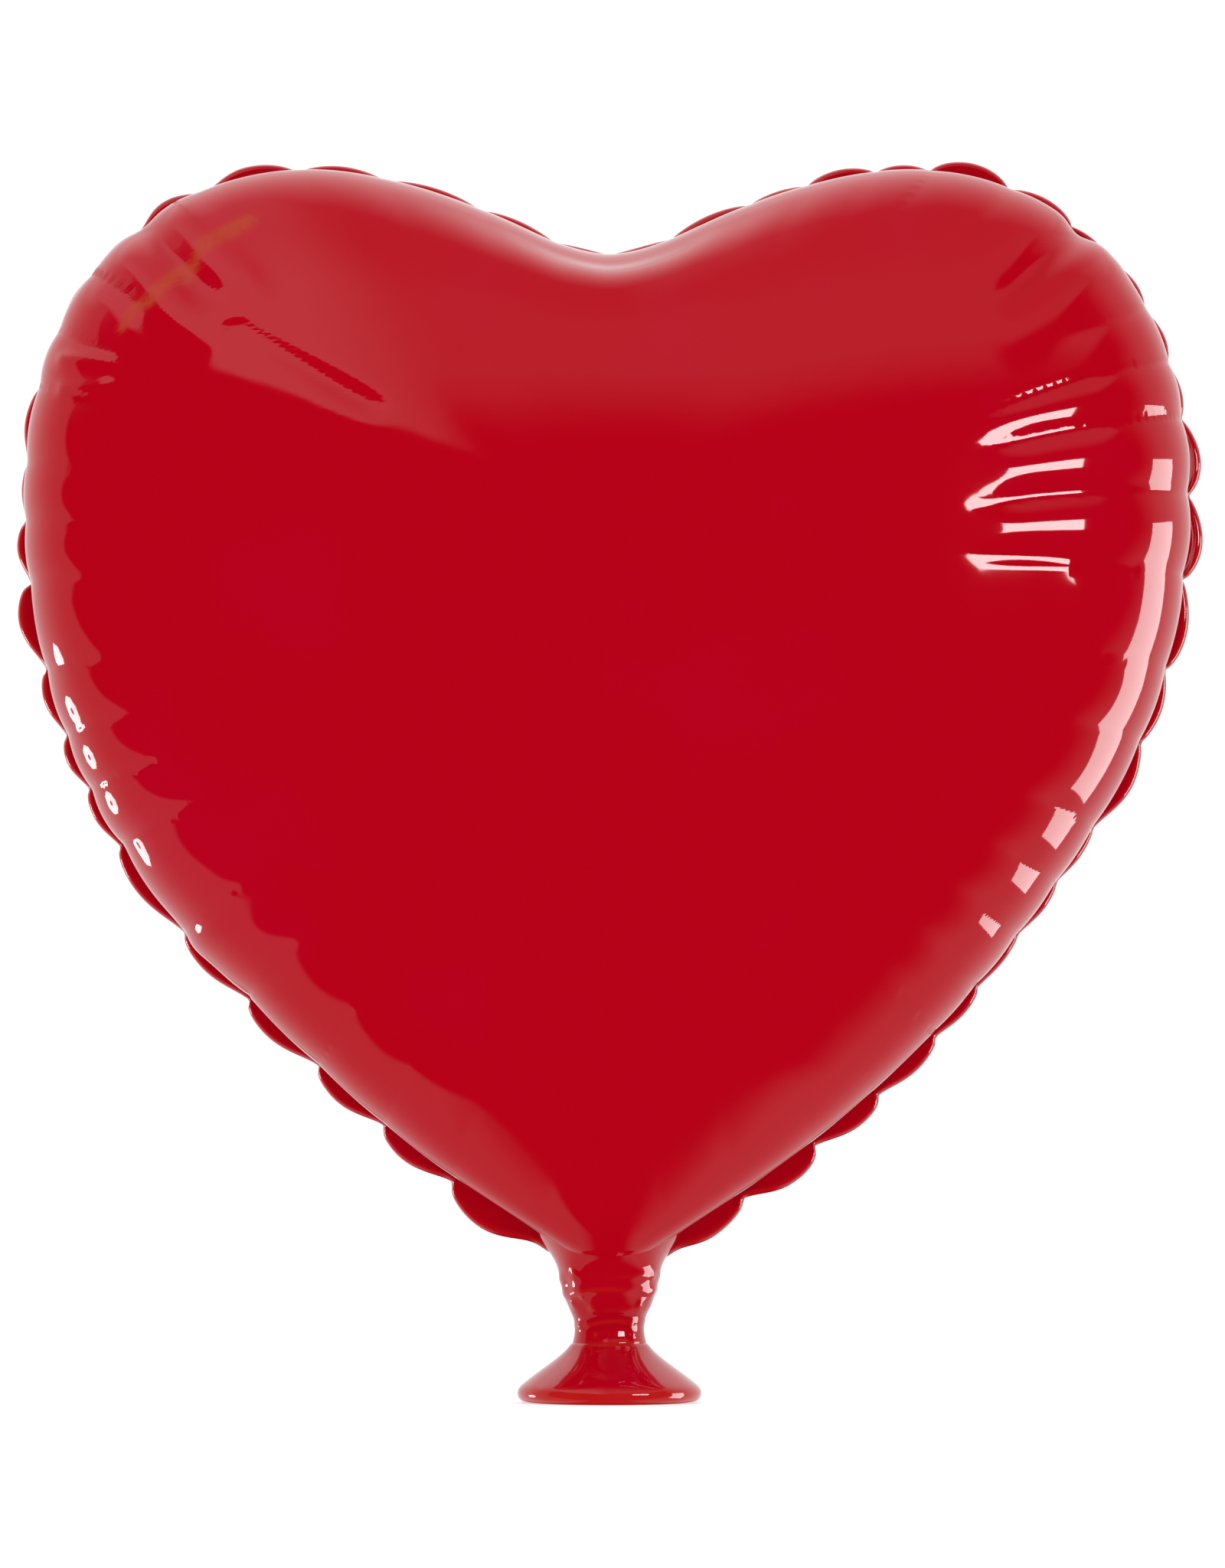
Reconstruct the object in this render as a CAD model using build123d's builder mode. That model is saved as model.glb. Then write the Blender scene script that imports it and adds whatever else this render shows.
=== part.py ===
"""Heart-shaped balloon ornament in glazed earthenware, hollow, standing on its own mouth.

Two domed half shells meet at a flat, scalloped seam rim. A gathered neck is luted under the tip of the
heart, and the flared mouth of the balloon, luted under the neck, is the foot.
Millimetres, +Z up, the front faces -Y, and the origin is the centre of the foot's underside.
"""

import os

from build123d import *

# Clay
wall = 4.5
rim_half_thickness = 2.5

# Heart, seen from the front. A point of the right half is x, z and how fast it draws in as the dome rises;
# towards the crown, they all draw in alike. The left half mirrors it.
dome_depth = 62.0
belly_depth = 12.0
seam_inset = 2.0
heart_centre = (0.0, 205.0)
notch = (0, 299.0, 0.36)
right_half = [
    (26, 307.5, 0.41), (52, 317.0, 0.46), (80, 321.0, 0.49), (114, 311.5, 0.47),
    (138, 288.0, 0.42), (150, 251.0, 0.39), (149.5, 211.0, 0.38), (139, 172.5, 0.40),
    (118, 136.5, 0.43), (85.5, 97.7, 0.52), (47.0, 63.9, 0.70), (16, 43.0, 0.92),
]
tip = (0, 36.0, 1.00)
crown_draw_in = 0.48

# Scallops of the seam rim, from the notch down to the neck: the width of each along the seam, and its bulge
scallops_right = [
    (17, 1.2), (22, 2.0), (16, 1.3), (18, 2.6), (14, 1.8), (21, 4.1), (19, 2.5), (13, 1.3),
    (16, 2.1), (15, 2.0), (15, 1.8), (20, 4.0), (22, 4.4), (24, 3.6), (20, 2.5), (26, 3.3),
    (17, 1.3), (17, 1.6), (17, 1.1), (17, 1.7), (21, 2.5), (21, 3.0), (23, 4.7), (22, 3.5),
]
scallops_left = [
    (15, 1.2), (21, 1.8), (26, 2.0), (23, 2.4), (26, 3.6), (19, 3.1), (15, 1.5), (18, 1.5),
    (16, 1.2), (20, 2.2), (15, 1.3), (16, 2.8), (23, 4.7), (18, 2.9), (15, 2.6), (17, 2.3),
    (28, 3.1), (24, 2.9), (25, 3.6), (23, 3.7), (23, 3.7), (27, 5.3),
]
# How far the valleys between them stand out from the heart, by their share of the way down
reach_right = [(0.0, 0.5), (0.2, 0.5), (0.3, 0.3), (0.6, 0.4), (0.72, 0.5), (0.86, 2.1), (1.0, 3.6)]
reach_left = [(0.0, 0.5), (0.15, 0.3), (0.6, 0.4), (0.7, 0.8), (0.85, 0.3), (0.92, 0.9), (1.0, 3.0)]
neck_share_of_seam = 0.038

# Neck and foot. Their outlines are radius and height, and one bore runs through both.
bore_radius = 4.5
tip_hole_radius = 6.0
tip_hole_depth = 8.0
neck_top = 42.0
neck_bottom = 15.6
neck_folds = [(9.9, neck_bottom), (8.9, 20.0), (11.7, 26.6), (12.8, 31.0), (13.8, 36.0), (17.6, neck_top)]
lip_height = 6.8
foot_flare = [(9.9, neck_bottom), (12.6, 13.0), (21.8, lip_height)]
foot_radius = 24.2
foot_ring_outer = 21.0
foot_ring_inner = 17.0


def inward(points, distance):
    """Moves each point of a half outline inwards, square to the line through its two neighbours."""
    moved = []
    for i, (x, z, p) in enumerate(points):
        before = points[i - 1] if i else (-points[1][0], points[1][1], 0)
        after = points[i + 1] if i + 1 < len(points) else (-points[-2][0], points[-2][1], 0)
        along = Vector(after[0] - before[0], after[1] - before[1]).normalized()
        moved.append((x + distance * along.Y, z - distance * along.X, p))
    return moved


def section(depth, full_depth, skin_inset):
    """The half outline at one depth of the dome: a little inside at the seam, widest at the belly."""
    cx, cz = heart_centre
    half = [notch, *right_half, tip]
    if depth < belly_depth:
        inset = skin_inset + seam_inset * (1 - depth / belly_depth) ** 2
        return [(x, z) for x, z, p in inward(half, inset)]
    rise = (depth - belly_depth) / (full_depth - belly_depth)
    points = []
    for x, z, p in inward(half, skin_inset):
        share = (1 - rise**2) ** (crown_draw_in + (p - crown_draw_in) * (1 - rise**5))
        points.append((cx + (x - cx) * share, cz + (z - cz) * share))
    return points


def dome_outlines(full_depth, skin_inset):
    """The dome's outlines as faces, from the seam plane forwards, and its crown point, ready to loft."""
    rises = [0.0, 0.24, 0.48, 0.68, 0.83, 0.93, 0.98]
    depths = [0.0] + [belly_depth + (full_depth - belly_depth) * rise for rise in rises]
    faces = []
    for depth in depths:
        with BuildSketch(Plane.XZ.offset(depth)) as outline:
            with BuildLine() as half:
                Spline(*section(depth, full_depth, skin_inset), tangents=[(1, 0), (-1, 0)])
                mirror(half.line, about=Plane.YZ)
            make_face()
        faces.append(outline.sketch.face())
    return [*faces, Vertex(heart_centre[0], -full_depth, heart_centre[1])]


def reach_at(reach, share):
    """The reach of the rim's valleys at one share of the way down, between the two given on either side."""
    for (start, low), (end, high) in zip(reach, reach[1:]):
        if share <= end:
            return low + (high - low) * (share - start) / (end - start)
    return reach[-1][1]


def scallop_arcs(side, scallops, reach):
    """Draws one side's scallops, side 1 the right and -1 the left, from the notch down to the neck."""
    line = [(x, z) for x, z, p in [notch, *right_half, tip]]
    seam = Spline(*line, tangents=[(1, 0), (-1, 0)], mode=Mode.PRIVATE)
    total = sum(width for width, bulge in scallops)
    run = 0.0
    valleys = []
    for width in [0.0, *[width for width, bulge in scallops]]:
        run = min(1.0, run + width / total)
        share = run * (1 - neck_share_of_seam)
        valley = seam @ share + (seam % share).rotate(Axis.Z, 90) * reach_at(reach, run)
        valleys.append(Vector(side * valley.X, valley.Y))
    for start, end, (width, bulge) in zip(valleys, valleys[1:], scallops):
        crest = (end - start).normalized().rotate(Axis.Z, 90 * side)
        ThreePointArc(start, (start + end) * 0.5 + crest * bulge, end)
    return valleys[-1]


# Front shell: the domed front half with its half of the seam rim
with BuildPart() as front_shell:
    loft(dome_outlines(dome_depth, 0.0))
    with BuildSketch(Plane.XZ):
        with BuildLine():
            right_end = scallop_arcs(1, scallops_right, reach_right)
            left_end = scallop_arcs(-1, scallops_left, reach_left)
            Line(right_end, left_end)
        make_face()
    extrude(amount=rim_half_thickness)
    loft(dome_outlines(dome_depth - wall, wall), mode=Mode.SUBTRACT)
    with BuildSketch(Plane.XY):
        Circle(foot_radius)
    extrude(amount=neck_top, mode=Mode.SUBTRACT)
    with BuildSketch(Plane.XY.offset(neck_top)):
        Circle(tip_hole_radius)
    extrude(amount=tip_hole_depth, mode=Mode.SUBTRACT)
front_shell.part.label = "front_shell"

# Back shell: the same casting, mirrored in the seam plane
with BuildPart() as back_shell:
    add(mirror(front_shell.part, about=Plane.XZ, mode=Mode.PRIVATE))
back_shell.part.label = "back_shell"

# Neck: the gathered tail of the balloon, hollow, its folds worked as rings
with BuildPart() as neck:
    with BuildSketch(Plane.XZ):
        with BuildLine():
            folds = Spline(*neck_folds)
            Polyline(folds @ 1, (bore_radius, neck_top), (bore_radius, neck_bottom), folds @ 0)
        make_face()
    revolve(axis=Axis.Z)
neck.part.label = "neck"

# Foot: the flared mouth of the balloon, a funnel inside, standing on a flat ring
with BuildPart() as foot:
    with BuildSketch(Plane.XZ):
        with BuildLine():
            flare = Spline(*foot_flare, tangents=[(0.3, -1), (1, -0.75)])
            lip = ThreePointArc(flare @ 1, (foot_radius, lip_height / 2), (foot_ring_outer, 0))
            ring = Line(lip @ 1, (foot_ring_inner, 0))
            funnel = Spline(ring @ 1, (bore_radius, neck_bottom), tangents=[(-0.5, 1), (0, 1)])
            Line(funnel @ 1, flare @ 0)
        make_face()
    revolve(axis=Axis.Z)
foot.part.label = "foot"

os.makedirs("parts", exist_ok=True)
for piece in [front_shell, back_shell, neck, foot]:
    export_step(piece.part, f"parts/{piece.part.label}.step")
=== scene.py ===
import math

import bpy
import numpy as np
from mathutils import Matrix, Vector


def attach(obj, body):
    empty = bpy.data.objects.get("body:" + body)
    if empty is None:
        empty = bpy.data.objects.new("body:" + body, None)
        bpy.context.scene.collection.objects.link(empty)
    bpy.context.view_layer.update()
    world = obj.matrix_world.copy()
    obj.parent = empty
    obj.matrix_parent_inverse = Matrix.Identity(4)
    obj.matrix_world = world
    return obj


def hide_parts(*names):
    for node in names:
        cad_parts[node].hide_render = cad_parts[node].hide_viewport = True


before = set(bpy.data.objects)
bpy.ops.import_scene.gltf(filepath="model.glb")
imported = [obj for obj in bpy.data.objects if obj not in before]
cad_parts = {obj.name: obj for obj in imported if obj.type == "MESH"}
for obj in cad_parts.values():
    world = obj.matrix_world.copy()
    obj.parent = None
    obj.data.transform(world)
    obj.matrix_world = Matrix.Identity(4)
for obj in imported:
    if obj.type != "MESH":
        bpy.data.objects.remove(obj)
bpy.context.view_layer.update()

# Camera: a long lens, square to the front, low enough to see the foot nearly edge on. The film is shifted up.
camera_distance = 2.6
view_height = 0.4096
view_centre_x, view_centre_z = 0.0008, 0.1616
camera_data = bpy.data.cameras.new("camera")
camera_data.lens = camera_data.sensor_width * camera_distance / view_height
camera = bpy.data.objects.new("camera", camera_data)
camera_height = 0.09
camera_data.shift_y = (view_centre_z - camera_height) / view_height
camera.location = (view_centre_x, -camera_distance, camera_height)
camera.rotation_euler = (math.radians(90), 0, 0)
bpy.context.scene.collection.objects.link(camera)
bpy.context.scene.camera = camera
bpy.context.scene.view_settings.view_transform = "Standard"

# Studio: a white tent with a dark front, where the camera stands. A big soft light hangs above the front,
# and three small ones stand to the front right, to the right and to the left.
tent = bpy.data.worlds.new("tent")
bpy.context.scene.world = tent
tent.use_nodes = True
nodes, links = tent.node_tree.nodes, tent.node_tree.links
nodes.clear()


def node_maker(nodes, links):
    """Returns a function that adds a node and sets its values. An input given as a socket is joined to it."""
    def add(kind, inputs=(), **values):
        node = nodes.new(kind)
        for name, value in values.items():
            setattr(node, name, value)
        for name, value in dict(inputs).items():
            if isinstance(value, bpy.types.NodeSocket):
                links.new(value, node.inputs[name])
            else:
                node.inputs[name].default_value = value
        return node
    return add


def math_node(add, operation, first, second=0.0):
    """A Math node's output."""
    return add("ShaderNodeMath", {0: first, 1: second}, operation=operation).outputs[0]


def ramp(add, value, low, high, to_low=0.0, to_high=1.0):
    """value from low to high, as to_low to to_high, smoothly."""
    inputs = {"Value": value, "From Min": low, "From Max": high, "To Min": to_low, "To Max": to_high}
    return add("ShaderNodeMapRange", inputs, interpolation_type="SMOOTHSTEP").outputs["Result"]


add = node_maker(nodes, links)
direction = add("ShaderNodeTexCoord").outputs["Generated"]
split = add("ShaderNodeSeparateXYZ", {"Vector": direction})
right, back, up = split.outputs
sideways = math_node(add, "ABSOLUTE", right)
down = math_node(add, "MAXIMUM", math_node(add, "MULTIPLY", up, -1.0), 0.0)
# The hanging light: a bank whose front edge dips in the middle, bright at the left and dimmer towards the
# right. Its edge is sharp at the left, and fades in the middle and to the right.
past_edge = math_node(add, "SUBTRACT", up, math_node(add, "MULTIPLY", sideways, 0.33))
crisp = ramp(add, past_edge, 0.272, 0.298)
soft = ramp(add, up, 0.35, 0.54)
leftness = ramp(add, right, -0.04, -0.14)
bank = ramp(add, leftness, 0.0, 1.0, soft, crisp)
level = ramp(add, right, -0.28, -0.02, 0.86, 0.34)
bank = math_node(add, "MULTIPLY", bank, level)
bank = math_node(add, "MULTIPLY", bank, ramp(add, sideways, 0.80, 0.74))
bank = math_node(add, "MULTIPLY", bank, ramp(add, up, 0.70, 0.95, 1.0, 0.7))
# The tent: white walls from beside the ornament to behind it, brightest behind and above, and its white base
# coming forward on both sides, but not in the middle
turned_back = math_node(add, "ADD", back, math_node(add, "MULTIPLY", down, 0.40))
lit_base = math_node(add, "MAXIMUM", ramp(add, up, -0.5, -0.2), ramp(add, sideways, 0.22, 0.42))
left_wall = ramp(add, turned_back, -0.13, -0.07, 0.0, 0.44)
right_wall = ramp(add, turned_back, -0.28, 0.12, 0.0, 0.52)
on_right = ramp(add, right, -0.1, 0.1)
tent_wall = ramp(add, on_right, 0.0, 1.0, left_wall, right_wall)
tent_glow = ramp(add, back, -0.05, 0.75, 0.0, 0.65)
tent_wall = math_node(add, "MULTIPLY", math_node(add, "ADD", tent_wall, tent_glow), lit_base)
tent_wall = math_node(add, "MULTIPLY", tent_wall, ramp(add, up, 0.6, 0.85, 1.0, 0.5))
top_glow = math_node(add, "MULTIPLY", ramp(add, back, -0.35, 0.62, 0.0, 1.3), ramp(add, up, 0.25, 0.65))
seen = math_node(add, "MAXIMUM", bank, math_node(add, "MAXIMUM", tent_wall, top_glow))
rays = add("ShaderNodeLightPath")
softness = ramp(add, rays.outputs["Is Diffuse Ray"], 0.0, 1.0)
seen = math_node(add, "MAXIMUM", seen, math_node(add, "MULTIPLY", softness, 0.97))
seen = math_node(add, "MAXIMUM", seen, rays.outputs["Is Camera Ray"])
sky = add("ShaderNodeBackground", {"Color": (1.0, 1.0, 1.0, 1.0), "Strength": seen})
add("ShaderNodeOutputWorld", {"Surface": sky.outputs[0]})

light_target = Vector((0, 0, 0.19))


def softbox(name, azimuth, elevation, distance, width, height, radiance):
    """A rectangular soft light that shows in the glaze: azimuth from the front to the right, in degrees."""
    data = bpy.data.lights.new(name, "AREA")
    data.shape = "RECTANGLE"
    data.size, data.size_y = width, height
    data.energy = radiance * width * height * math.pi
    light = bpy.data.objects.new(name, data)
    a, e = math.radians(azimuth), math.radians(elevation)
    towards = Vector((math.sin(a) * math.cos(e), -math.cos(a) * math.cos(e), math.sin(e)))
    light.location = light_target + towards * distance
    light.rotation_euler = towards.to_track_quat("Z", "Y").to_euler()
    light.visible_camera = False
    light.visible_diffuse = False
    bpy.context.scene.collection.objects.link(light)


softbox("front_right_softbox", 40, 6.5, 2.0, 0.76, 0.36, 16.0)
softbox("right_softbox", 96, -13, 1.5, 0.58, 1.05, 7.5)

# Left lamp: an eight-sided lamp head whose dark middle leaves a ring in the glaze.
a, e = math.radians(-115), math.radians(-18)
towards = Vector((math.sin(a) * math.cos(e), -math.cos(a) * math.cos(e), math.sin(e)))
bpy.ops.object.select_all(action="DESELECT")
bpy.ops.mesh.primitive_circle_add(vertices=8, radius=0.20, fill_type="NGON")
lamp_ring = bpy.context.object
lamp_ring.name = "ring_lamp"
bpy.ops.object.mode_set(mode="EDIT")
bpy.ops.mesh.select_all(action="SELECT")
bpy.ops.mesh.inset(thickness=0.14)
bpy.ops.mesh.delete(type="FACE")
bpy.ops.object.mode_set(mode="OBJECT")
lamp_ring.location = light_target + towards * 1.5
lamp_ring.rotation_euler = towards.to_track_quat("Z", "Y").to_euler()
lamp_ring.visible_camera = False
lamp_ring.visible_diffuse = False
lamp_glow = bpy.data.materials.new("lamp_glow")
lamp_glow.use_nodes = True
lamp_glow.node_tree.nodes.clear()
add = node_maker(lamp_glow.node_tree.nodes, lamp_glow.node_tree.links)
glow = add("ShaderNodeEmission", {"Strength": 11.0})
add("ShaderNodeOutputMaterial", {"Surface": glow.outputs[0]})
lamp_ring.data.materials.append(lamp_glow)

# Floor: a round white plinth top, small enough to leave the low lights clear.
bpy.ops.object.select_all(action="DESELECT")
bpy.ops.mesh.primitive_circle_add(vertices=96, radius=0.32, fill_type="NGON")
floor = bpy.context.object
floor.name = "plinth_top"
floor_white = bpy.data.materials.new("plinth_white")
floor_white.use_nodes = True
paint = floor_white.node_tree.nodes["Principled BSDF"]
paint.inputs["Base Color"].default_value = (0.95, 0.95, 0.95, 1)
paint.inputs["Roughness"].default_value = 0.9
paint.inputs["Emission Color"].default_value = (1, 1, 1, 1)
paint.inputs["Emission Strength"].default_value = 0.45
floor.data.materials.append(floor_white)
floor.visible_glossy = False
floor.visible_diffuse = False

# Red glaze: a transparent red glaze over pale clay. It runs off sharp edges and shows orange there, and
# pools in the hollows, where it is darker. The fired surface is glossy, with a faint orange-peel ripple.
# The group reads a piece's attributes: how sharply it bulges, how hollow it is, and where a brush thinned it.
glaze_group = bpy.data.node_groups.new("red_glaze_over_clay", "ShaderNodeTree")
for name, value in (("Thinning", 1.0), ("Pooling", 1.0), ("Mottle scale", 18.0), ("Ripple", 0.25)):
    socket = glaze_group.interface.new_socket(name, in_out="INPUT", socket_type="NodeSocketFloat")
    socket.default_value = value
for name, kind in (("Color", "Color"), ("Roughness", "Float"), ("Height", "Float")):
    glaze_group.interface.new_socket(name, in_out="OUTPUT", socket_type="NodeSocket" + kind)
add = node_maker(glaze_group.nodes, glaze_group.links)
given = add("NodeGroupInput").outputs
place = add("ShaderNodeTexCoord").outputs["Object"]
bulge = add("ShaderNodeAttribute", attribute_name="bulge").outputs["Fac"]
hollow = add("ShaderNodeAttribute", attribute_name="hollow").outputs["Fac"]


def noise(place, scale, detail):
    """A Noise texture's value at a place."""
    return add("ShaderNodeTexNoise", {"Vector": place, "Scale": scale, "Detail": detail}).outputs["Fac"]


mottle = noise(place, given["Mottle scale"], 3.0)
streaks = noise(add("ShaderNodeMapping", {"Vector": place, "Scale": (60.0, 60.0, 14.0)}).outputs[0], 1.0, 4.0)
speckle = noise(place, 900.0, 2.0)
thin = math_node(add, "MULTIPLY", bulge, given["Thinning"])
thin = math_node(add, "MULTIPLY", thin, ramp(add, streaks, 0.25, 0.65, 0.6, 1.1))
brushed = add("ShaderNodeAttribute", attribute_name="brushed").outputs["Fac"]
strokes = noise(place, 420.0, 3.0)
brushed = math_node(add, "MULTIPLY", brushed, ramp(add, strokes, 0.30, 0.55, 0.55, 1.0))
pooled = math_node(add, "MULTIPLY", hollow, given["Pooling"])


def mixed(share, first, second):
    """A Mix node's colour output: first, turning to second by share."""
    node = glaze_group.nodes.new("ShaderNodeMix")
    node.data_type = "RGBA"
    glaze_group.links.new(share, node.inputs[0])
    for socket, value in ((node.inputs[6], first), (node.inputs[7], second)):
        if isinstance(value, bpy.types.NodeSocket):
            glaze_group.links.new(value, socket)
        else:
            socket.default_value = value
    return node.outputs[2]


deep_red = (0.515, 0.0004, 0.0094, 1)
crimson_red = (0.52, 0.0005, 0.015, 1)
orange_red = (0.60, 0.036, 0.008, 1)
pooled_red = (0.26, 0.0004, 0.006, 1)
brushed_orange = (0.52, 0.026, 0.003, 1)
color = mixed(ramp(add, mottle, 0.5, 0.75), deep_red, crimson_red)
color = mixed(pooled, color, pooled_red)
color = mixed(thin, color, orange_red)
color = mixed(brushed, color, brushed_orange)
grain = ramp(add, speckle, 0.62, 0.80, 0.045, 0.075)
ripple = math_node(add, "MULTIPLY", noise(place, 110.0, 1.0), given["Ripple"])
grain = math_node(add, "MAXIMUM", grain, math_node(add, "MULTIPLY", brushed, 0.3))
add("NodeGroupOutput", {"Color": color, "Roughness": grain, "Height": ripple})


def glaze_material(name, thinning=1.0):
    """The red glaze on one piece."""
    material = bpy.data.materials.new(name)
    material.use_nodes = True
    nodes, links = material.node_tree.nodes, material.node_tree.links
    add = node_maker(nodes, links)
    glaze = add("ShaderNodeGroup", node_tree=glaze_group)
    glaze.inputs["Thinning"].default_value = thinning
    bump = add("ShaderNodeBump", {"Height": glaze.outputs["Height"], "Strength": 0.25, "Distance": 0.0004})
    shader = nodes["Principled BSDF"]
    shader.inputs["IOR"].default_value = 1.5
    links.new(glaze.outputs["Color"], shader.inputs["Base Color"])
    links.new(glaze.outputs["Roughness"], shader.inputs["Roughness"])
    links.new(bump.outputs["Normal"], shader.inputs["Normal"])
    return material


MM = 0.001
# A bend, in 1/mm, below which the glaze lies even
even_bend = 0.06


def measure_bends(piece, full_bend):
    """Writes the piece's bulge and hollow attributes: how sharply it bends out, or in, at each point."""
    mesh = piece.data
    count = len(mesh.vertices)
    co = np.empty(count * 3)
    mesh.vertices.foreach_get("co", co)
    co = co.reshape(-1, 3)
    normal = np.empty(count * 3)
    mesh.vertex_normals.foreach_get("vector", normal)
    normal = normal.reshape(-1, 3)
    ends = np.empty(len(mesh.edges) * 2, int)
    mesh.edges.foreach_get("vertices", ends)
    ends = ends.reshape(-1, 2)
    along = co[ends[:, 1]] - co[ends[:, 0]]
    square = np.maximum((along**2).sum(1), 1e-14)
    bend = np.zeros(count)
    share = np.zeros(count)
    for this, sign in ((0, 1), (1, -1)):
        np.add.at(bend, ends[:, this], -2 * sign * (along * normal[ends[:, this]]).sum(1) / square)
        np.add.at(share, ends[:, this], 1)
    bend = bend / share * MM
    for _ in range(3):
        spread = np.zeros(count)
        np.add.at(spread, ends[:, 0], bend[ends[:, 1]])
        np.add.at(spread, ends[:, 1], bend[ends[:, 0]])
        bend = 0.5 * bend + 0.5 * spread / share
    for name, value in (("bulge", bend), ("hollow", -bend)):
        layer = mesh.attributes.new(name, "FLOAT", "POINT")
        layer.data.foreach_set("value", np.clip((value - even_bend) / full_bend, 0, 1).astype(np.float32))


# Heart shells: two slip-cast halves of earthenware, luted along the seam. Each is a dome that overhangs a
# flat scalloped rim, pulled into puckers at the rim's valleys, as the foil that it copies is.
# A half of the heart is x and z in millimetres, and how fast it draws in as the dome rises.
right_half = [
    (26, 307.5, 0.41), (52, 317.0, 0.46), (80, 321.0, 0.49), (114, 311.5, 0.47),
    (138, 288.0, 0.42), (150, 251.0, 0.39), (149, 211.0, 0.38), (138.3, 172.8, 0.40),
    (117.2, 137.1, 0.43), (85.3, 97.7, 0.52), (47.0, 63.9, 0.70), (16, 43.0, 0.92),
]
# The left half is fuller low down
left_half = [
    (-16, 43.0, 0.92), (-47, 63.7, 0.70), (-85.5, 97.4, 0.52), (-120, 135.1, 0.43),
    (-140.4, 171.8, 0.40), (-150.4, 210.7, 0.38), (-151.1, 251.2, 0.39), (-138.5, 288.5, 0.42),
    (-114, 311.5, 0.47), (-80, 321.0, 0.49), (-52, 317.0, 0.46), (-26, 307.5, 0.41),
]
notch = (0, 299.0, 0.36)
tip = (0, 36.0, 1.00)
crown_draw_in = 0.48
heart_centre = np.array((0.0, 205.0))
dome_depth = 61.2
belly_depth = 12.0
seam_inset = 2.0
# Scallops from the notch down to the neck: the width of each along the seam, and how far it bulges
scallops_right = [
    (17, 1.2), (22, 2.0), (16, 1.3), (18, 2.6), (14, 1.8), (21, 4.1), (19, 2.5), (13, 1.3),
    (16, 2.1), (15, 2.0), (15, 1.8), (20, 4.0), (22, 4.4), (24, 3.6), (20, 2.5), (26, 3.3),
    (17, 1.3), (17, 1.6), (17, 1.1), (17, 1.7), (21, 2.5), (21, 3.0), (23, 4.7), (22, 3.5),
]
scallops_left = [
    (15, 1.2), (21, 1.8), (26, 2.0), (23, 2.4), (26, 3.6), (19, 3.1), (15, 1.5), (18, 1.5),
    (16, 1.2), (20, 2.2), (15, 1.3), (16, 2.8), (23, 4.7), (18, 2.9), (15, 2.6), (17, 2.3),
    (28, 3.1), (24, 2.9), (25, 3.6), (23, 3.7), (23, 3.7), (27, 5.3),
]
# Down each side: how far the valleys between them stand out from the heart, and where a scallop is fullest
lean_right = [
    (0.0, 0.5, 1.0), (0.2, 0.5, 1.0), (0.3, 0.0, 1.2), (0.55, 0.1, 1.2), (0.63, 0.5, 0.8), (0.72, 0.3, 0.7),
    (0.8, 1.4, 0.7), (0.86, 2.1, 0.7), (0.92, 1.2, 0.7), (0.97, 2.2, 0.8), (1.0, 3.6, 0.9),
]
lean_left = [
    (0.0, 0.5, 1.0), (0.15, 0.0, 1.0), (0.4, 0.1, 0.8), (0.62, 0.4, 0.7), (0.68, 0.8, 0.7), (0.76, 0.6, 0.7),
    (0.85, 0.2, 0.7), (0.92, 0.9, 0.7), (1.0, 3.0, 0.8),
]
neck_share_of_seam = 0.038
# Clay, and the grid's rings from the crown out over the dome, the overhang and the rim, and into the cavity
wall = 4.5
rim_half_thickness = 2.4
rim_face_share = 0.5
cavity_turn = 0.93
dome_rings, overhang_rings, rim_rings, inside_rings = 112, 5, 12, 8


def smooth_loop(points, samples=240):
    """Dense points on a smooth closed curve through the given points."""
    points = np.array(points, float)
    count = len(points)
    step = np.roll(points, -1, 0) - points
    span = np.hypot(step[:, 0], step[:, 1])
    matrix, known = np.zeros((count, count)), np.zeros_like(points)
    for i in range(count):
        matrix[i, i - 1] += span[i - 1]
        matrix[i, i] += 2 * (span[i - 1] + span[i])
        matrix[i, (i + 1) % count] += span[i]
        known[i] = 6 * (step[i] / span[i] - step[i - 1] / span[i - 1])
    bend = np.linalg.solve(matrix, known)
    curve = []
    for i in range(count):
        j, h = (i + 1) % count, span[i]
        t = np.linspace(0, h, samples, endpoint=False)[:, None]
        curve.append(
            (bend[i] * (h - t) ** 3 + bend[j] * t**3) / (6 * h)
            + (points[i] / h - bend[i] * h / 6) * (h - t)
            + (points[j] / h - bend[j] * h / 6) * t
        )
    return np.concatenate(curve + [points[:1]])


outline = smooth_loop([notch, *right_half, tip, *left_half])
outline_run = np.concatenate([[0], np.cumsum(np.hypot(*np.diff(outline[:, :2], axis=0).T))])
seam_length = outline_run[-1]
outline_step = np.gradient(outline[:, :2], axis=0)
outline_step /= np.hypot(*outline_step.T)[:, None]
outline_out = np.stack([-outline_step[:, 1], outline_step[:, 0]], 1)


def along_outline(run):
    """The outline's x, z and draw-in, and its outward direction, by the distance along the seam."""
    pick = [np.interp(run, outline_run, column) for column in (*outline.T, *outline_out.T)]
    return np.stack(pick[:3], 1), np.stack(pick[3:], 1)


scalloped = seam_length / 2 * (1 - neck_share_of_seam)
right_run = np.cumsum([0] + [width for width, bulge in scallops_right])
left_run = np.cumsum([0] + [width for width, bulge in scallops_left])
valleys = np.concatenate([right_run / right_run[-1], (2 - left_run[::-1] / left_run[-1])])
valleys = np.where(valleys > 1, seam_length - (2 - valleys) * scalloped, valleys * scalloped)
valleys[len(right_run)] = seam_length - scalloped
bulges = [bulge for width, bulge in (*scallops_right, (0, 0.0), *reversed(scallops_left))]
bulges = np.array(bulges)


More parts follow.
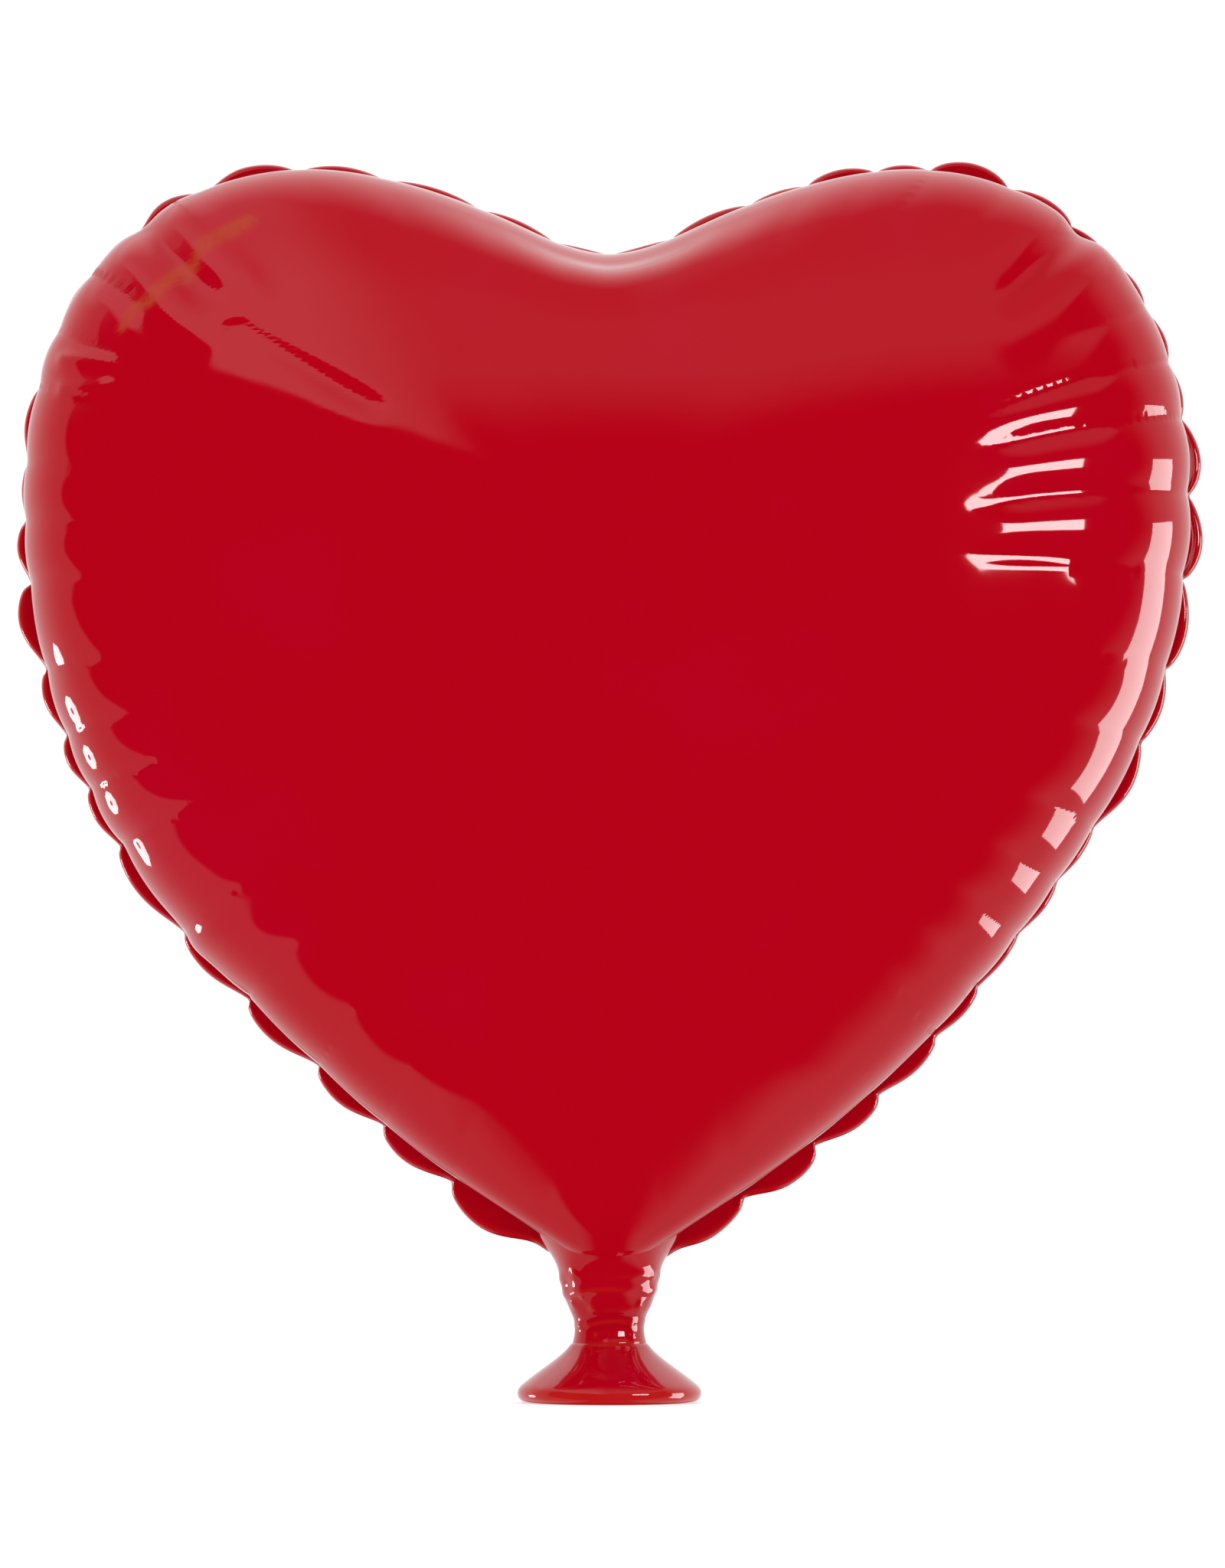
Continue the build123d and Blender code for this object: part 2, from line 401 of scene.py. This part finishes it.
def scallop_at(run):
    """Which scallop a place on the seam is in, and how far along it, 0 to 1."""
    which = np.clip(np.searchsorted(valleys, run, side="right") - 1, 0, len(valleys) - 2)
    share = (run - valleys[which]) / (valleys[which + 1] - valleys[which])
    return which, np.clip(share, 0, 1)


def rim_reach(run):
    """How far the rim's edge stands out from the heart's widest outline."""
    which, share = scallop_at(run)
    on_right = run < seam_length / 2
    down = np.where(on_right, run, seam_length - run) / scalloped
    sides = []
    for lean in (lean_right, lean_left):
        shares, reaches, skews = zip(*lean)
        sides.append((np.interp(down, shares, reaches), np.interp(down, shares, skews)))
    valley = np.where(on_right, sides[0][0], sides[1][0])
    skew = np.where(on_right, sides[0][1], sides[1][1])
    share = np.where(on_right, share, 1 - share)
    rise = np.sin(math.pi * share**skew) ** np.clip(0.6 + 0.9 * share * (skew < 0.95), 0.6, 1.4)
    return valley + bulges[which] * rise


def smoothstep(value):
    value = np.clip(value, 0, 1)
    return value * value * (3 - 2 * value)


# Puckers: between two valleys the dome swells to a rounded crest, with narrow troughs between the swells.
# Each swell's height, how far in it holds, and how far in it ends, by the number of its scallop
front_swells = {
    5: (0.4, 6, 26), 6: (0.5, 8, 30), 7: (0.4, 8, 30), 8: (0.4, 8, 28), 9: (0.5, 8, 30),
    10: (1.0, 38, 60), 11: (1.5, 42, 60), 12: (1.5, 44, 66), 13: (0.8, 18, 40),
    26: (0.3, 6, 22), 27: (0.5, 8, 24), 28: (0.8, 9, 26), 29: (1.6, 8, 24),
    30: (1.5, 10, 28), 31: (1.4, 14, 36), 32: (1.0, 10, 30),
    33: (1.1, 10, 28), 34: (0.9, 8, 26), 35: (0.9, 8, 26), 36: (0.8, 7, 24), 37: (0.9, 8, 26),
    38: (1.2, 12, 26), 39: (1.0, 10, 24),
}
# How far the swells swing along the seam as they run in, by the share of the way down the right side
swing_right = [(0.0, 0.0), (0.3, 0.05), (0.36, 0.22), (0.46, 0.18), (0.52, 0.02), (0.6, -0.05), (1.0, 0.0)]
# Longer folds: from x, z to x, z, how high (a groove is negative), and how wide
front_folds = [
    (-120.2, 304.7, -102.8, 284.6, -1.2, 4.0), (-125.1, 295.9, -104.4, 274.2, 0.9, 5.0),
    (-110.3, 308.7, -90.6, 285.0, 0.8, 5.0), (-95.5, 277.7, -60.1, 256.5, -0.42, 2.5),
    (-99.5, 281.5, -97.5, 279.0, 0.5, 3.0), (-140.9, 270.7, -128.1, 269.8, 0.7, 1.8),
    (-141.3, 262.9, -128.1, 262.4, 0.7, 1.8),
    (122.1, 304.2, 100.1, 284.6, -1.9, 4.2), (128.1, 295.9, 103.4, 273.2, 1.0, 5.5),
    (-110.3, 117.6, -85.7, 142.7, 1.3, 6.0), (-88.7, 141.2, -70.9, 161.9, -0.25, 4.0),
]
# Brushed spots where the glaze is thin, from x, z to x, z, and how wide
front_thin_spots = [
    (-93.0, 305.9, -104.8, 299.6, 2.4), (-104.9, 298.8, -109.3, 290.4, 1.7),
    (-110.8, 292.9, -119.7, 284.5, 2.0), (-122.1, 284.0, -125.6, 278.1, 1.3),
]


# The rounding at the bottom of each trough, and how far the dip under the notch fills out towards the crown
trough_width = 0.9
notch_fill = 14.0
notch_half_width = 42


def line_distance(flat, x1, z1, x2, z2):
    """Each place's distance from a line, and how far along it, 0 to 1."""
    start, run = np.array((x1, z1)), np.array((x2 - x1, z2 - z1))
    along = (flat - start) @ run / (run @ run)
    off = flat - start - np.clip(along, 0, 1)[:, None] * run
    return np.hypot(*off.T), along


def shell_points(u, v, swells, folds, facing, seed):
    """Places of a shell's outside, in millimetres, and how far the puckers push each one out. u is the
    distance along the seam, and v is 0 at the crown, 1 at the belly and 2 where the overhang meets the rim.
    facing is -1 for the front."""
    place, out = along_outline(u)
    rise = np.cos(np.clip(v, 0, 1) * math.pi / 2)
    draw_in = crown_draw_in + (place[:, 2] - crown_draw_in) * (1 - rise**5)
    share = np.maximum(1 - rise**2, 0) ** draw_in
    fill = notch_fill * np.exp(-((place[:, 0] / notch_half_width) ** 2)) * (place[:, 1] > heart_centre[1])
    place[:, 1] += fill * smoothstep((rise - 0.3) / 0.6)
    flat = heart_centre + (place[:, :2] - heart_centre) * share[:, None]
    under = np.clip(v - 1, 0, 1)
    depth = belly_depth + (dome_depth - belly_depth) * rise - under * (belly_depth - rim_half_thickness)
    flat = flat - out * (seam_inset * (1 - np.minimum(depth, belly_depth) / belly_depth) ** 2)[:, None]
    radius = np.hypot(*(place[:, :2] - heart_centre).T)
    inward = (1 - share) * radius
    down = u / (seam_length / 2)
    swing = np.interp(down, *zip(*swing_right)) if facing < 0 else 0 * u
    which, t = scallop_at(np.clip(u + swing * inward, 0, seam_length))
    dice = np.random.default_rng(seed)
    strength = 0.7 + 0.6 * dice.random(len(valleys))
    on_flank = [7 < k < 20 or 28 < k < 40 for k in range(len(valleys))]
    usual = [(amount * (0.65 if flank else 0.15), 7, 26) for flank, amount in zip(on_flank, strength)]
    height, hold, end = np.array([swells.get(k, usual[k]) for k in range(len(valleys))])[which].T
    width = np.diff(valleys)[which] * np.maximum(share, 0.3)
    trough = 0.5 * trough_width / width
    crest = 4 * t * (1 - t)
    crest = np.sqrt(crest**2 + (4 * trough) ** 2) - 4 * trough
    push = height * (crest - 0.55) * (1 - smoothstep((inward - hold) / (end - hold)))
    push *= 0.85 + 0.15 * smoothstep(inward / 12)
    for x1, z1, x2, z2, amount, half_width in folds:
        off, along = line_distance(flat, x1, z1, x2, z2)
        push += amount * np.exp(-((off / half_width) ** 2)) * smoothstep((1.25 - along) / 0.5)
    push *= 1 - 0.8 * smoothstep(v - 1)
    taper = 0.84 + 0.16 * smoothstep((flat[:, 1] - 44) / 45)
    depth = depth * taper
    return np.stack([flat[:, 0], facing * depth, flat[:, 1]], 1), push


def rim_points(u, s, facing):
    """Places on the rim, in millimetres: s is 0 at the foot of the dome, and 1 on the seam at its edge."""
    place, out = along_outline(u)
    reach = rim_reach(u)
    start = -seam_inset * (1 - rim_half_thickness / belly_depth) ** 2
    round_width = np.minimum(1.5, 0.5 * (reach - start))
    face = np.clip(s / rim_face_share, 0, 1)
    edge = np.clip((s - rim_face_share) / (1 - rim_face_share), 0, 1)
    turn = edge * math.pi / 2
    distance = start + (reach - round_width - start) * face + round_width * np.sin(turn)
    depth = (rim_half_thickness - 0.35 * np.sin(math.pi * face)) * np.cos(turn)
    flat = place[:, :2] + out * distance[:, None]
    return np.stack([flat[:, 0], facing * depth, flat[:, 1]], 1)


def inside_points(u, s, facing):
    """Places on the cavity's wall, in millimetres: s is 0 on the seam and 1 near the inside of the crown."""
    place, out = along_outline(u)
    inner = place[:, :2] - out * (seam_inset + wall)
    turn = s * math.pi / 2 * cavity_turn
    rise, share = np.sin(turn), np.cos(turn)
    flat = heart_centre + (inner - heart_centre) * share[:, None]
    return np.stack([flat[:, 0], facing * (dome_depth - wall) * rise, flat[:, 1]], 1)


def build_shell(name, facing, swells, folds, thin_spots, seed):
    """A glazed half shell, made from a square grid: its rings become the dome, the overhang, the rim and its
    rounded edge, the seam's face, and the wall of the cavity."""
    total = dome_rings + overhang_rings + rim_rings + inside_rings
    bpy.ops.object.select_all(action="DESELECT")
    bpy.ops.mesh.primitive_grid_add(x_subdivisions=2 * total, y_subdivisions=2 * total, size=2)
    shell = bpy.context.object
    shell.name = name
    mesh = shell.data
    co = np.empty(len(mesh.vertices) * 3)
    mesh.vertices.foreach_get("co", co)
    a, b = co.reshape(-1, 3)[:, 0], co.reshape(-1, 3)[:, 1]
    reach = np.maximum(np.maximum(np.abs(a), np.abs(b)), 1e-9)
    ring = np.round(reach * total)
    a, b = a / reach, b / reach
    sides = [(b > 0.9999) & (a >= 0), a > 0.9999, b < -0.9999, a < -0.9999]
    u = np.select(sides, [a, 2 - b, 4 - a, 6 + b], 8 + a) / 8 * seam_length
    v = np.minimum(ring / dome_rings, 1) + np.clip((ring - dome_rings) / overhang_rings, 0, 1)
    places, push = shell_points(u, v, swells, folds, facing, seed)
    rim = ring > dome_rings + overhang_rings
    on_rim = np.clip((ring - dome_rings - overhang_rings) / rim_rings, 0, 1)
    places[rim], push[rim] = rim_points(u, on_rim, facing)[rim], 0
    inside = ring > total - inside_rings
    in_cavity = np.clip((ring - (total - inside_rings) - 1) / (inside_rings - 1), 0, 1)
    places[inside] = inside_points(u, in_cavity, facing)[inside]
    mesh.vertices.foreach_set("co", (places * MM).ravel())
    mesh.update()
    bpy.ops.object.mode_set(mode="EDIT")
    bpy.ops.mesh.select_mode(type="EDGE")
    bpy.ops.mesh.select_all(action="DESELECT")
    bpy.ops.mesh.select_non_manifold()
    bpy.ops.mesh.edge_face_add()
    bpy.ops.mesh.select_all(action="SELECT")
    bpy.ops.mesh.normals_make_consistent(inside=False)
    bpy.ops.object.mode_set(mode="OBJECT")
    normal = np.empty(len(mesh.vertices) * 3)
    mesh.vertex_normals.foreach_get("vector", normal)
    places = places + normal.reshape(-1, 3) * push[:, None]
    mesh.vertices.foreach_set("co", (places * MM).ravel())
    mesh.update()
    brushed = np.zeros(len(places))
    for x1, z1, x2, z2, half_width in thin_spots:
        off, along = line_distance(places[:, [0, 2]], x1, z1, x2, z2)
        brushed = np.maximum(brushed, np.exp(-((off / half_width) ** 4)) * (places[:, 1] * facing > 3))
    mesh.attributes.new("brushed", "FLOAT", "POINT").data.foreach_set("value", brushed.astype(np.float32))
    finish_glazed(shell, 0.8)
    return shell


def finish_glazed(piece, full_bend=0.5):
    """Measures a glazed piece's bends, smooths its shading and lets it ride."""
    measure_bends(piece, full_bend)
    bpy.ops.object.select_all(action="DESELECT")
    piece.select_set(True)
    bpy.context.view_layer.objects.active = piece
    bpy.ops.object.shade_smooth_by_angle(angle=math.radians(50))
    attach(piece, "root")


heart_front = build_shell("heart_front", -1, front_swells, front_folds, front_thin_spots, seed=3)
heart_front.data.materials.append(glaze_material("front_glaze", thinning=0.35))
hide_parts("front_shell")
back_swells = {
    5: (0.9, 12, 34), 6: (0.7, 8, 30), 13: (1.2, 20, 46), 14: (1.0, 16, 40),
    32: (0.9, 12, 36), 33: (1.3, 24, 50), 34: (0.9, 12, 36), 40: (0.8, 12, 34),
}
back_folds = [(112.0, 306.0, 92.0, 284.0, -1.2, 4.0), (-124.0, 300.0, -100.0, 280.0, 0.9, 5.0)]
heart_back = build_shell("heart_back", 1, back_swells, back_folds, [], seed=8)
heart_back.data.materials.append(glaze_material("back_glaze", thinning=0.35))
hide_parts("back_shell")

# Neck: the gathered tail under the heart, pulled from a tube of clay, twisted and pinched into soft folds,
# and luted to the tip of the heart. Hollow, with the drain hole up its middle.
bore_radius = 4.5


def turn_profile(name, profile, segments):
    """A closed ring-shaped piece: a circle extruded through (radius, height) points, and joined up."""
    bpy.ops.object.select_all(action="DESELECT")
    radius, height = profile[0]
    bpy.ops.mesh.primitive_circle_add(vertices=segments, radius=radius * MM, location=(0, 0, height * MM))
    piece = bpy.context.object
    piece.name = name
    bpy.ops.object.transform_apply(location=True)
    bpy.ops.object.mode_set(mode="EDIT")
    bpy.ops.mesh.select_all(action="SELECT")
    for next_radius, next_height in profile[1:]:
        lift, spread = (next_height - height) * MM, next_radius / radius
        bpy.ops.mesh.extrude_region_move(TRANSFORM_OT_translate={"value": (0, 0, lift)})
        bpy.ops.transform.resize(value=(spread, spread, 1), center_override=(0, 0, 0))
        radius, height = next_radius, next_height
    bpy.ops.mesh.select_all(action="DESELECT")
    bpy.ops.mesh.select_non_manifold()
    bpy.ops.mesh.bridge_edge_loops()
    bpy.ops.mesh.select_all(action="SELECT")
    bpy.ops.mesh.normals_make_consistent(inside=False)
    bpy.ops.object.mode_set(mode="OBJECT")
    return piece


def subdivide(piece, levels):
    """Rounds a piece with a subdivision surface, applied."""
    rounding = piece.modifiers.new("rounding", "SUBSURF")
    rounding.levels = rounding.render_levels = levels
    bpy.context.view_layer.objects.active = piece
    bpy.ops.object.modifier_apply(modifier=rounding.name)


neck_profile = [
    (9.9, 14.0), (9.4, 16.8), (8.9, 20.0), (9.7, 23.2), (11.5, 26.4), (12.7, 30.4), (13.1, 33.5),
    (14.0, 36.5), (15.8, 39.5), (18.0, 42.2), (19.6, 44.6), (19.8, 46.0), (16.0, 47.0), (bore_radius, 47.2),
    (bore_radius, 36.0), (bore_radius, 26.0), (bore_radius, 14.0),
]
gathered_neck = turn_profile("gathered_neck", neck_profile, 48)
subdivide(gathered_neck, 3)
# A fold is a soft ridge that rises and falls as it goes round: its height in front, rise, width, depth, start
neck_folds = [
    (15.6, 0.3, 0.8, 0.25, 0.0), (20.7, 0.7, 0.9, 0.40, 0.6), (24.4, -0.9, 1.3, 0.30, 2.4),
    (28.8, 0.8, 1.1, 0.45, 1.0), (32.6, -0.7, 1.3, 0.30, 4.0),
]
# A pinch is a dent left by a fingertip, or the bead beside it, where its depth is negative: its place round
# the neck in degrees, height, size and depth
pinches = [
    (-62, 31.0, 3.0, 0.6), (-40, 25.5, 2.6, 0.4), (38, 28.5, 3.2, 0.5), (140, 30.0, 4.0, 0.7),
    (-150, 24.0, 3.5, 0.6), (-45, 34.2, 1.1, -0.3), (-37, 28.2, 1.1, -0.3), (-25, 24.9, 1.2, -0.35),
    (-57, 20.2, 1.0, -0.25), (-23, 18.0, 1.0, -0.25), (59, 33.4, 1.1, -0.3), (47, 25.7, 1.1, -0.3),
    (38, 20.6, 1.0, -0.25), (41, 18.0, 1.0, -0.25), (-60, 26.0, 1.2, -0.3), (68, 29.0, 1.4, -0.3),
]
for point in gathered_neck.data.vertices:
    x, y, z = point.co / MM
    radius = math.hypot(x, y)
    if radius < bore_radius + 1:
        continue
    angle = math.atan2(x, -y)
    push = 0.0
    for height, climb, width, depth, start in neck_folds:
        line = height + climb * math.sin(angle + start) + 0.4 * climb * math.sin(3 * angle + 2 * start)
        uneven = 0.65 + 0.35 * math.sin(2 * angle + 3 * start)
        push += depth * uneven * math.exp(-(((z - line) / width) ** 2))
    for degrees, height, size, depth in pinches:
        across = radius * (math.remainder(angle - math.radians(degrees), 2 * math.pi))
        push -= depth * math.exp(-((across / size) ** 2) - ((z - height) / size) ** 2)
    push *= 1 - smoothstep((z - 38) / 6)
    scale = (radius + push) / radius
    point.co = Vector((x * scale, y * scale, z)) * MM
finish_glazed(gathered_neck)
gathered_neck.data.materials.append(glaze_material("neck_glaze", thinning=0.5))
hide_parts("neck")

# Foot: the balloon's flared mouth, thrown as a small bell. Its lip is rounded, it stands on a flat ring, and
# a funnel inside leads up to the drain hole.
foot_profile = [
    (9.7, 16.2), (10.6, 14.6), (12.6, 12.6), (16.2, 9.9), (19.6, 7.5), (22.0, 5.6), (23.5, 4.4), (24.2, 3.2),
    (24.2, 1.8), (23.4, 0.5), (22.0, 0.05), (21.0, 0.0), (17.2, 0.0), (16.6, 0.4), (13.0, 4.6), (9.0, 9.0),
    (5.6, 13.0), (bore_radius, 16.2),
]
balloon_mouth = turn_profile("balloon_mouth", foot_profile, 48)
subdivide(balloon_mouth, 2)
for point in balloon_mouth.data.vertices:
    point.co.z = max(point.co.z, 0.0)
finish_glazed(balloon_mouth)
balloon_mouth.data.materials.append(glaze_material("foot_glaze"))
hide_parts("foot")
